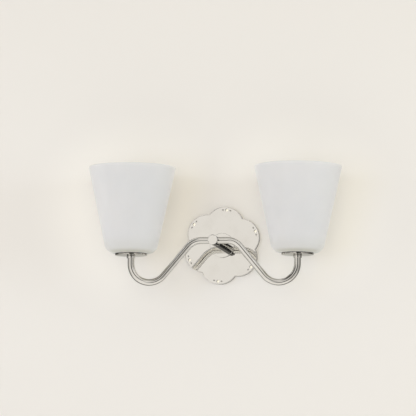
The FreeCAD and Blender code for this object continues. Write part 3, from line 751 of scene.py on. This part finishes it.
# Each thread's radius is at its crests, it runs out over the given length at both ends, and around and along
# count its points.
lampThread = {"depth": 0.0007, "pitch": 0.00363, "runOut": 0.003, "wall": 0.0004, "around": 96}
nippleThread = {"radius": 0.00485, "depth": 0.0005, "pitch": 0.00094, "runOut": 0.0006, "wall": 0.00125,
                "around": 48}
threads = {
    "bulbCap": {**lampThread, "radius": 0.0131, "foot": 0.0010, "height": 0.0194, "along": 128},
    "screwShell": {**lampThread, "radius": 0.0136, "foot": -0.0058, "height": 0.0240, "along": 144},
    "armNipple": {**nippleThread, "foot": -0.0266, "height": 0.0100, "along": 120},
    "stemNipple": {**nippleThread, "foot": 0.0018, "height": 0.02415, "along": 280},
    "grubScrew": {"radius": 0.0015, "depth": 0.00028, "pitch": 0.0005, "foot": 0.0, "height": 0.005,
                  "runOut": 0.0003, "wall": 0.0002, "around": 32, "along": 110},
}
stemTurn = Matrix(((1, 0, 0, 0), (0, 0, -1, 0), (0, 1, 0, 0), (0, 0, 0, 1)))  # lays an upright mesh along -Y
threadTree = threadedTubeTree()


def makeThread(kind, name, turn, body, finish, node):
    given = threads[kind]
    values = {"Radius": given["radius"], "Depth": given["depth"], "Pitch": given["pitch"],
              "Foot": given["foot"], "Height": given["height"], "Run Out": given["runOut"],
              "Around": given["around"], "Along": given["along"], "Finish": finishes[finish]}
    mesh = grow(threadTree, values)
    mesh.transform(turn)
    addWall(addPiece(name, mesh, body, finish, node), given["wall"])


shellFloor = {"hole": 0.0102, "radius": 0.0134, "foot": -0.0058, "thickness": 0.0004}


def makeShellFloor(side, sign):
    # the inward lip at the screw shell's foot
    inner, outer, foot = shellFloor["hole"], shellFloor["radius"], shellFloor["foot"]
    top = foot + shellFloor["thickness"]
    profile = [(inner, foot), (outer, foot), (outer, top), (inner, top)]
    mesh = lathe("shellFloor", profile, lampCentre(sign))
    addPiece(f"{side}ShellFloor", mesh, "fixture", "brass", f"{side}_screw_shell")


capShoulder = {
    "hole": 0.0092,
    "foot": -0.0016,
    "radius": 0.0130,
    "top": 0.0014,
    "band": 0.0006,           # the taper ends this far below the top
    "rounding": 0.0006,
    "thickness": 0.0004,
}


def makeCapShoulder(side, sign):
    # the taper between the bulb's insulator and its thread
    hole, wide, thickness = capShoulder["hole"], capShoulder["radius"], capShoulder["thickness"]
    foot, top = capShoulder["foot"], capShoulder["top"]
    profile = softened([
        (hole, foot, 0), (wide, top - capShoulder["band"], capShoulder["rounding"]),
        (wide, top, 0), (wide - thickness, top, 0),
        (wide - thickness, top - thickness, 0), (hole, foot + thickness, 0),
    ])
    mesh = lathe("capShoulder", profile, lampCentre(sign))
    addPiece(f"{side}CapShoulder", mesh, f"{side}_bulb", "bulb_cap", f"{side}_bulb_cap")


for side, sign in light["sides"]:
    place = Matrix.Translation(lampCentre(sign))
    makeThread("bulbCap", f"{side}BulbScrewCap", place, f"{side}_bulb", "bulb_cap", f"{side}_bulb_cap")
    makeThread("screwShell", f"{side}ScrewShell", place, "fixture", "brass", f"{side}_screw_shell")
    makeThread("armNipple", f"{side}ArmNipple", place, "fixture", "zinc_steel", "arm_nipples")
    makeShellFloor(side, sign)
    makeCapShoulder(side, sign)
makeThread("stemNipple", "stemNipple", stemTurn, "fixture", "zinc_steel", "stem_nipple")
print("threads rolled")

nut = {
    "bore": 0.0049,
    "half": 0.0070,           # half width over the flats
    "corner": 0.0081,
    "face": 0.0074,           # each face is turned down to this radius
    "chamfer": 0.0005,
    "sharpAngle": 20,
}


def makeNut(name, node, turn, foot, top):
    edge, half = nut["chamfer"], nut["half"]
    mesh = lathe("nut", [
        (nut["bore"] + edge, foot), (nut["face"], foot, half), (nut["corner"], foot + edge, half),
        (nut["corner"], top - edge, half), (nut["face"], top, half), (nut["bore"] + edge, top),
        (nut["bore"], top - edge), (nut["bore"], foot + edge),
    ])
    mesh.transform(turn)
    addPiece(name, mesh, "fixture", "brass", node, sharpAngle=nut["sharpAngle"])


washer = {
    "bore": 0.0049,
    "body": 0.0069,
    "tip": 0.0084,
    "teeth": 10,
    "toothEdge": (0.26, 0.34),  # a tooth narrows between these shares of its pitch, from its middle out
    "twist": 0.00052,           # how far a tooth as wide as its pitch would rise from side to side
    "sheet": 0.0003,
    "around": 241,
    "across": 7,
}


def toothedWasherTree():
    # a sheet ring whose outer edge is cut into teeth, each twisted a little out of the ring's plane
    tree, given = newTree("toothedWasher", (
        ("Bore", "Float", 0.005), ("Body Radius", "Float", 0.007), ("Tip Radius", "Float", 0.008),
        ("Teeth", "Int", 10), ("Twist", "Float", 0.0005), ("Level", "Float", 0.0),
        ("Around", "Int", 241), ("Across", "Int", 7), ("Finish", "Material", None)))
    grid, around, across = gridOfPlaces(tree, given["Around"], given["Across"])
    angle = tree.calculate("MULTIPLY", around, 2 * math.pi)
    phase = tree.calculate("FRACT", tree.calculate("MULTIPLY", around, given["Teeth"]))
    side = tree.calculate("SUBTRACT", phase, 0.5)
    tooth = tree.remap(tree.calculate("ABSOLUTE", side), *washer["toothEdge"], 1.0, 0.0)
    inner = tree.remap(across, 0.0, 0.5)
    outer = tree.calculate("MULTIPLY", tree.remap(across, 0.5, 1.0), tooth)
    body = tree.calculate("SUBTRACT", given["Body Radius"], given["Bore"])
    reach = tree.calculate("SUBTRACT", given["Tip Radius"], given["Body Radius"])
    radius = tree.calculate("MULTIPLY_ADD", inner, body, given["Bore"])
    radius = tree.calculate("MULTIPLY_ADD", outer, reach, radius)
    lean = tree.calculate("MULTIPLY", outer, side)
    height = tree.calculate("MULTIPLY_ADD", lean, given["Twist"], given["Level"])
    return endTree(tree, bent(tree, grid, radius, angle, height), given["Finish"])


washerTree = toothedWasherTree()


def makeWasher(name, node, turn, level):
    values = {"Bore": washer["bore"], "Body Radius": washer["body"], "Tip Radius": washer["tip"],
              "Teeth": washer["teeth"], "Twist": washer["twist"], "Level": level,
              "Around": washer["around"], "Across": washer["across"], "Finish": finishes["zinc_steel"]}
    mesh = grow(washerTree, values)
    mesh.transform(turn)
    piece = addPiece(name, mesh, "fixture", "zinc_steel", node)
    sheet = piece.modifiers.new("sheet", "SOLIDIFY")
    sheet.thickness, sheet.offset = washer["sheet"], 0.0


nutBox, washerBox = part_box("lock_nuts"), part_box("lock_washers")
for side, sign in light["sides"]:
    place = Matrix.Translation(lampCentre(sign))
    makeNut(f"{side}LockNut", "lock_nuts", place, nutBox[0].z, nutBox[1].z)
    makeWasher(f"{side}LockWasher", "lock_washers", place, (washerBox[0].z + washerBox[1].z) / 2)
nutBox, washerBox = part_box("stem_nut"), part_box("stem_lock_washer")
makeNut("stemNut", "stem_nut", stemTurn, -nutBox[1].y, -nutBox[0].y)
makeWasher("stemLockWasher", "stem_lock_washer", stemTurn, -(washerBox[0].y + washerBox[1].y) / 2)

grub = {
    "core": 0.0012,
    "point": 0.0008,
    "socket": 0.00065,        # half width over the hexagon's flats
    "socketDepth": 0.0014,
    "edge": 0.0003,
    "segments": 48,
}


def makeGrubScrew(side, sign):
    # a threaded sleeve round a core with a flat point and a hexagon socket that faces outwards
    box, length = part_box("grub_screws"), threads["grubScrew"]["height"]
    place = Vector((sign * (box[1].x - length), (box[0].y + box[1].y) / 2, 0))
    turn = Matrix.Translation(place) @ Matrix.Rotation(sign * math.pi / 2, 4, "Y")
    core, edge, socket = grub["core"], grub["edge"], grub["socket"]
    bottom = length - grub["socketDepth"]
    mesh = lathe("grubCore", [
        (0, 0), (grub["point"], 0), (core, edge), (core, length - edge), (core - edge / 2, length),
        (core, length, socket), (core, bottom, socket), (0, bottom - edge),
    ], segments=grub["segments"], closed=False)
    mesh.transform(turn)
    addPiece(f"{side}GrubCore", mesh, "fixture", "zinc_steel", "grub_screws")
    makeThread("grubScrew", f"{side}GrubThread", turn, "fixture", "zinc_steel", "grub_screws")


for side, sign in light["sides"]:
    makeGrubScrew(side, sign)
print("nuts, washers and grub screws made")

wall = {
    "half": 3.0,
    "roughness": 0.85,
    "specular": 0.2,
    "colours": (colour(248, 244, 237), colour(235, 231, 226)),  # painted light: lighter round the glasses, against the shade they cast on the wall, and plain away from them
    "lit": (0.05, 0.19),      # where the painted light fades, in distances from a spot near each glass
    "litHeight": 0.06,
    "litShift": 0.018,        # how far that spot is to the left of the lamp's axis, so that more shade stays to the right of each glass
    "mirrored": (colour(236, 233, 226), colour(84, 82, 79)),    # painted reflection: the wall as the metal shows it, near the stem and painted dark far from it
    "mirroredFade": (0.15, 0.30),
    "opening": 0.066,         # behind the plate the wall is only there for the eye
}

eyelets = {
    # painted light: a glow on the wall, for the eye only, where light comes back from the wall through the
    # plate's eyelets
    "count": 6,
    "circle": 0.0603,
    "turn": 6.6,
    "radius": 0.0023,
    "colour": colour(255, 247, 222),
    "glow": 0.82,
}

floor = {
    "height": -0.75,
    "half": 6.0,
    "colour": colour(174, 174, 174),
    "roughness": 0.9,
    "glowColour": colour(255, 254, 252),
    "glow": 0.38,
}


def addPlane(name, corners, material):
    mesh = bpy.data.meshes.new(name)
    mesh.from_pydata(corners, [], [(0, 1, 2, 3)])
    mesh.materials.append(material)
    piece = bpy.data.objects.new(name, mesh)
    bpy.context.scene.collection.objects.link(piece)


def clearWhere(tree, shader, share):
    # lets sight and light through where share is 1
    clear = tree.add("ShaderNodeBsdfTransparent").outputs[0]
    output = next(node for node in tree.tree.nodes if node.type == "OUTPUT_MATERIAL")
    tree.put(output.inputs["Surface"], tree.mixed(share, shader.outputs[0], clear))


def eyeletGlow(tree, place, far):
    # 1 within an eyelet's radius of its centre and 0 elsewhere, by folding the wall into one eyelet's sector
    spread = 2 * math.pi / eyelets["count"]
    apart = tree.apart(place)
    angle = tree.calculate("ARCTAN2", apart["X"], apart["Z"])
    angle = tree.calculate("SUBTRACT", angle, math.radians(eyelets["turn"]))
    angle = tree.calculate("WRAP", angle, spread / 2, -spread / 2)
    across = tree.calculate("MULTIPLY", far, tree.calculate("SINE", angle))
    along = tree.calculate("MULTIPLY", far, tree.calculate("COSINE", angle))
    spot = tree.point(across, tree.calculate("SUBTRACT", along, eyelets["circle"]))
    return tree.calculate("LESS_THAN", tree.length(spot), eyelets["radius"])


def paintedLightFade(tree, place):
    # where the painted light lies: 0 beside a glass and 1 away from both, by folding one half of the wall
    # over the other
    apart = tree.apart(place)
    aside = tree.calculate("ABSOLUTE", tree.calculate("ADD", apart["X"], wall["litShift"]))
    across = tree.calculate("SUBTRACT", aside, light["reach"])
    above = tree.calculate("SUBTRACT", apart["Z"], wall["litHeight"])
    return tree.remap(tree.length(tree.point(across, above)), *wall["lit"], smooth=True)


def wallPaint():
    material, tree, shader = newMaterial("wallPaint")
    rays = tree.add("ShaderNodeLightPath").outputs
    place = tree.place()
    far = tree.length(place)
    # painted light: the wall is painted lighter round the glasses
    seen = tree.blend(paintedLightFade(tree, place), *wall["colours"])
    # painted reflection: away from the stem the metal sees the wall painted darker
    mirrored = tree.blend(tree.remap(far, *wall["mirroredFade"], smooth=True), *wall["mirrored"])
    # painted light: the eyelets' glow
    glow = tree.calculate("MULTIPLY", eyeletGlow(tree, place, far), eyelets["glow"])
    tree.fill(shader, {
        "Base Color": tree.blend(rays["Is Glossy Ray"], seen, mirrored),
        "Roughness": wall["roughness"],
        "Specular IOR Level": wall["specular"],
        "Emission Color": eyelets["colour"],
        "Emission Strength": tree.calculate("MULTIPLY", glow, rays["Is Camera Ray"]),
    })
    hidden = tree.calculate("LESS_THAN", far, wall["opening"])
    unseen = tree.calculate("SUBTRACT", 1.0, rays["Is Camera Ray"])
    behind = tree.add("ShaderNodeNewGeometry").outputs["Backfacing"]
    clearWhere(tree, shader, tree.calculate("MAXIMUM", tree.calculate("MULTIPLY", hidden, unseen), behind))
    return material


def floorPaint():
    material, tree, shader = newMaterial("floorPaint")
    tree.fill(shader, {
        "Base Color": floor["colour"],
        "Roughness": floor["roughness"],
        "Emission Color": floor["glowColour"],
        "Emission Strength": floor["glow"],
    })
    clearWhere(tree, shader, tree.add("ShaderNodeLightPath").outputs["Is Glossy Ray"])
    return material


half, low, deep = wall["half"], floor["height"], floor["half"]
high = low + 2 * half
wallCorners = [(-half, 0, low), (half, 0, low), (half, 0, high), (-half, 0, high)]
floorCorners = [(-deep, -deep, low), (deep, -deep, low), (deep, deep, low), (-deep, deep, low)]
addPlane("wall", wallCorners, wallPaint())
addPlane("floor", floorCorners, floorPaint())

softboxes = {
    # place, size and power, with the spread in degrees and the light's colour
    "front": {"place": (0.4, -3.46, -0.15), "size": 1.8, "power": 10.3, "spread": 110,
              "colour": (0.985, 0.945, 0.83)},
    "key": {"place": (-1.3, -3.25, 0.0), "size": 1.5, "power": 5.9, "spread": 110,
            "colour": (0.49, 0.617, 1.0)},
    "right": {"place": (2.3, -1.15, 0.2), "size": 1.0, "power": 2.9, "spread": 80,
              "colour": (0.74, 0.86, 1.0)},
    "left": {"place": (-2.4, -0.6, 0.0), "size": 1.2, "power": 2.8, "spread": 80,
             "colour": (0.92, 0.95, 1.0)},
}


def addSoftbox(name, sizes):
    data = bpy.data.lights.new(name, "AREA")
    data.shape, data.size = "SQUARE", sizes["size"]
    data.energy, data.color = sizes["power"], sizes["colour"]
    data.spread = math.radians(sizes["spread"])
    box = bpy.data.objects.new(name, data)
    box.location = sizes["place"]
    box.rotation_euler = (hub - Vector(sizes["place"])).to_track_quat("-Z", "Y").to_euler()
    box.visible_glossy = False
    bpy.context.scene.collection.objects.link(box)


for name, sizes in softboxes.items():
    addSoftbox(name, sizes)

world = {
    "ambient": (1.0, 0.955, 0.830, 1.0),
    "ambientStrength": 0.695,
    "background": (1.0, 1.0, 1.0, 1.0),
    "mirrored": (1.0, 0.962, 0.90, 1.0),
    "mirroredStrength": 0.81,
    "patches": {
        # painted reflections: darker parts of the room, seen in the metal only: where they are, the angles in
        # degrees between which they fade, and the share of the light that they take
        "camera": ((0.27, -0.96, 0.02), 15, 20, 0.86),
        "floor": ((0.05, -0.97, -0.24), 13, 20, 0.80),
        "mantel": ((0.13, -0.94, 0.30), 13, 18, 0.80),
        "doorway": ((0.60, -0.70, -0.35), 8, 30, 0.40),
        "ceiling": ((-0.25, -0.30, 0.92), 15, 50, 0.25),
        "corner": ((-0.70, -0.42, 0.58), 16, 34, 0.87),
        "shelf": ((-0.45, -0.82, 0.36), 8, 20, 0.60),
        "behind": ((0.10, 0.98, 0.05), 40, 75, 0.60),
        "right": ((0.97, -0.22, 0.05), 14, 40, 0.55),
        "left": ((-0.97, -0.22, 0.05), 14, 40, 0.45),
    },
}


def makeWorld():
    room = bpy.data.worlds.new("room")
    bpy.context.scene.world = room
    room.use_nodes = True
    tree = Nodes(room.node_tree)
    rays = tree.add("ShaderNodeLightPath").outputs
    outwards = tree.add("ShaderNodeTexCoord").outputs["Generated"]
    kept = world["mirroredStrength"]
    for towards, within, out, share in world["patches"].values():
        axes = {0: outwards, 1: Vector(towards).normalized()}
        facing = tree.add("ShaderNodeVectorMath", axes, operation="DOT_PRODUCT").outputs["Value"]
        edge, core = math.cos(math.radians(out)), math.cos(math.radians(within))
        kept = tree.calculate("MULTIPLY", kept, tree.remap(facing, edge, core, 1.0, 1.0 - share, smooth=True))
    kept = tree.calculate("MAXIMUM", kept, tree.calculate("SUBTRACT", 1.0, rays["Is Glossy Ray"]))
    tone = tree.blend(rays["Is Glossy Ray"], world["background"], world["mirrored"])
    shown = tree.add("ShaderNodeBackground", {"Color": tone, "Strength": kept}).outputs[0]
    ambient = {"Color": world["ambient"], "Strength": world["ambientStrength"]}
    ambient = tree.add("ShaderNodeBackground", ambient).outputs[0]
    seen = tree.calculate("MAXIMUM", rays["Is Camera Ray"], rays["Is Glossy Ray"])
    seen = tree.calculate("MAXIMUM", seen, rays["Is Transmission Ray"])
    tree.add("ShaderNodeOutputWorld", {"Surface": tree.mixed(seen, ambient, shown)})


makeWorld()
print("room and lamps made")
